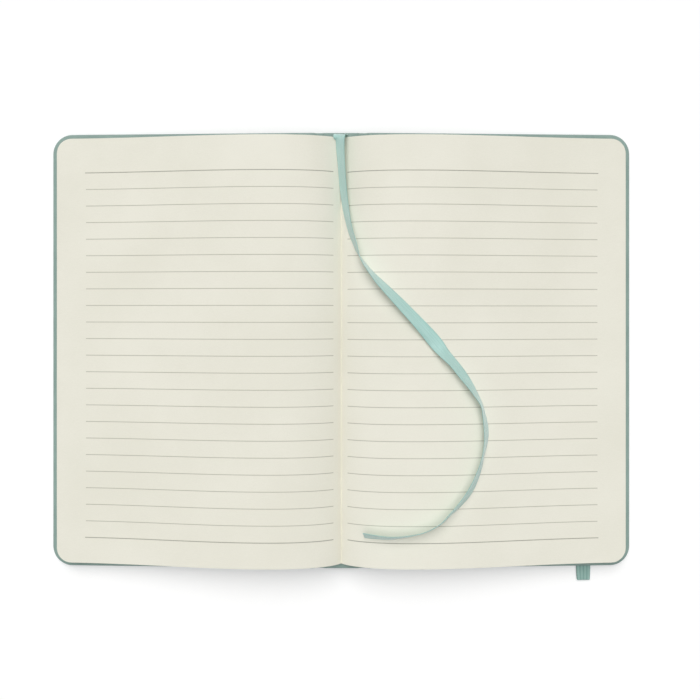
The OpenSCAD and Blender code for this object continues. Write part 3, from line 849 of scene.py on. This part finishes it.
def pasted_sheet(name, side):
    """Pasted half of the endpaper, as one sheet from the shoulder of the leaves over the groove and out
    over the board, with a soft step where the turned-in cloth ends under it."""
    bridge = along(BRIDGE, np.linspace(0, 1, 22))
    r = COVER_R - PASTE_INSET
    far = REACH - PASTE_INSET
    turn = np.radians(np.linspace(90, 0, SHEET_FACETS))
    x = np.concatenate([
        np.linspace(BOARD_X + 0.3, 100, 24),
        np.linspace(102, far - r - 1, 24),
        far - r + r * np.cos(turn),
    ])
    half = np.full(len(x), COVER_H / 2 - PASTE_INSET)
    half[-len(turn):] += r * np.sin(turn) - r
    across = np.concatenate([
        np.linspace(-1, -CLOSE_ROWS, 16), np.linspace(-0.8, 0.8, 15), np.linspace(CLOSE_ROWS, 1, 16),
    ])
    grid_x = np.broadcast_to(x[:, None], (len(x), len(across)))
    grid_y = half[:, None] * across
    fore = 1 - ease(grid_x, REACH - TURN_IN - STEP_W, REACH - TURN_IN)
    ends = 1 - ease(np.abs(grid_y), COVER_H / 2 - TURN_IN - STEP_W, COVER_H / 2 - TURN_IN)
    level = PASTE_TOP - CLOTH_T * fore * ends
    over_board = on_cover(grid_x, grid_y, level)
    start = np.zeros((len(bridge), len(across), 3))
    start[..., 0] = bridge[:, None, 0]
    start[..., 1] = half[0] * across
    start[..., 2] = bridge[:, None, 1]
    start[..., 2] = np.minimum(start[..., 2], over_board[0, :, 2][None] + BRIDGE_RISE)
    upper = np.concatenate([start, over_board])[None]
    points, faces = closed_sheets(upper, below(upper, PAPER_T - AIR))
    return put(name, points, faces, end_paper, side)


def crossing(piece):
    """Bakes the piece's placement into its mesh, as it lies at rest."""
    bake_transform(piece)


for side, word in SIDES.items():
    wrap = thicken(cover_skin(f"{word}_cover_wrap", side, slots=side > 0), CLOTH_T - AIR)
    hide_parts(f"{word}_cover_cloth")
    crossing(wrap)
    pasted = pasted_sheet(f"{word}_pasted_endpaper", side)
    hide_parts(f"{word}_pastedown")
    crossing(pasted)
spine_wrap = thicken(spine_skin(), CLOTH_T - AIR)
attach(spine_wrap, ROOT)
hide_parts("spine_cloth")


# Elastic band: radii of its bends and of its slack fold, and length of the path between rows of points
BAND_BEND, FOLD_R, BAND_STEP = 0.3, 0.4, 2.5
# The outer run of the fold parts from the cover over LAP_RISE and reaches its own level LAP_INSET before
# the tail slot. The inner run comes back to the cover's face FOLD_BACK past the tail.
LAP_INSET, LAP_RISE, FOLD_BACK = 8, 12, 0.5
# The slack fold draws in towards its end, whose corners are round
FOLD_TAPER, FOLD_ROUNDING = 0.08, 12


def band_path():
    """Middle line of the band in the back cover's frame: glued end, out of the head slot, along the
    outer face, round the slack fold past the tail, and in again at the tail slot."""
    inside = BOARD_TOP - AIR - BAND_T / 2
    outside = -CLOTH_T / 2 - AIR - BAND_T / 2
    under = outside - BAND_T - AIR
    bend, lap_y = BAND_BEND, LAP_INSET - SLOT_Y
    fold_y = -(COVER_H / 2 + BAND_FOLD - FOLD_R - BAND_T / 2)
    turn = np.radians(np.arange(-90, -271, -22.5))
    fold = np.stack([fold_y + FOLD_R * np.cos(turn), under + FOLD_R * (1 + np.sin(turn))], -1)
    return np.vstack([
        [(SLOT_Y - BAND_GLUE, inside), (SLOT_Y - bend, inside), (SLOT_Y, inside - bend)],
        [(SLOT_Y, outside + bend), (SLOT_Y - bend, outside), (lap_y + LAP_RISE, outside), (lap_y, under)],
        fold,
        [(-COVER_H / 2 - FOLD_BACK, outside), (-SLOT_Y - bend, outside), (-SLOT_Y, outside + bend)],
        [(-SLOT_Y, inside - bend), (-SLOT_Y + bend, inside), (-SLOT_Y + BAND_GLUE, inside)],
    ])


def band_outline():
    """Upper line of the band's section: four low ribs side by side."""
    across = np.linspace(-1, 1, 33) * BAND_W / 2
    rib = np.abs(np.sin(np.pi * (across + BAND_W / 2) / RIB_PITCH))
    height = BAND_T / 2 * (0.72 + 0.28 * rib**0.6)
    height[[0, -1]] *= 0.5
    return np.stack([across, height], -1)


line = band_path()
steps = np.maximum(1, (np.linalg.norm(np.diff(line, axis=0), axis=1) / BAND_STEP).astype(int))
share = np.concatenate(
    [np.linspace(k, k + 1, n, endpoint=False) for k, n in enumerate(steps)] + [[len(line) - 1]]
)
line = np.stack([np.interp(share, np.arange(len(line)), line[:, k]) for k in range(2)], -1)
path = on_cover(np.full(len(line), BAND_X), line[:, 0], line[:, 1])
level_way = np.broadcast_to([math.cos(TILT), 0, -math.sin(TILT)], path.shape)
past = np.clip((-line[:, 0] - COVER_H / 2) / BAND_FOLD, 0, 1)
narrowing = FOLD_TAPER * past + FOLD_TAPER * past**FOLD_ROUNDING
points, faces, flat = strip(path, level_way, band_outline(), narrowing)
band = put("elastic_loop", points, faces[:, ::-1], band_weave, spread=flat)
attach(band, COVERS[1])
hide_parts("elastic_band")


# Finishes of the CAD solids that stay
INNER_FINISHES = {
    "spine_lining": lining_paper, "spine_stiffener": board, "front_board": board, "back_board": board,
}
for node, finish in INNER_FINISHES.items():
    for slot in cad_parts[node].material_slots:
        slot.material = finish.material


# Floor and light: the floor's tone, its glow to the camera and half its width
FLOOR_SHARE, FLOOR_GLOW, FLOOR_SIZE = 0.88, 0.14, 3000
WHITE = (1, 1, 1, 1)
# Two wide soft lamps, each with where it stands, its share of the light on the floor and its width in
# degrees. The sky adds its share from all sides, so that colours show about as they are written.
LAMPS = {"window": ((-0.13, 0.7, 1), 0.37, 36), "ceiling": ((0, 0, 1), 0.4, 55)}
SKY = 0.22


def floor():
    """A wide pale floor. To the camera and in reflections it adds a glow, so that it shows white, and it
    keeps the object's shadow."""
    gray = (FLOOR_SHARE,) * 3 + (1,)
    finish = Finish("floor_white", {"Base Color": gray, "Roughness": 0.9, "Specular IOR Level": 0.0})
    glow = {"Color": WHITE, "Strength": FLOOR_GLOW * finish.shown()}
    matt = Wire(finish, finish.shader.outputs[0])
    layers = {0: matt, 1: finish.node("ShaderNodeEmission", None, glow)}
    finish.feed(finish.surface, finish.node("ShaderNodeAddShader", None, layers))
    corners = np.array([(-1, -1, 0), (1, -1, 0), (1, 1, 0), (-1, 1, 0)]) * FLOOR_SIZE
    put("floor", corners, [(0, 1, 2, 3)], finish)


def room():
    """A plain white room: it lights evenly with SKY, and it is white to the camera and in reflections."""
    world = bpy.data.worlds.new("room")
    bpy.context.scene.world = world
    world.use_nodes = True
    nodes = Nodes(world.node_tree, "ShaderNodeOutputWorld")
    light = {"Color": WHITE, "Strength": SKY + (1 - SKY) * nodes.shown()}
    nodes.feed(nodes.surface, nodes.node("ShaderNodeBackground", None, light))


def lamp(name, stands, share, width):
    """A far lamp that shines from where it stands to the middle of the table."""
    light = bpy.data.lights.new(name, "SUN")
    upright = stands[2] / math.hypot(*stands)
    light.energy, light.angle = share * math.pi / upright, math.radians(width)
    holder = bpy.data.objects.new(name, light)
    holder.rotation_euler = Vector(stands).to_track_quat("Z", "Y").to_euler()
    bpy.context.scene.collection.objects.link(holder)


floor()
room()
for name, setup in LAMPS.items():
    lamp(name, *setup)
bpy.context.scene.view_settings.view_transform = "Standard"
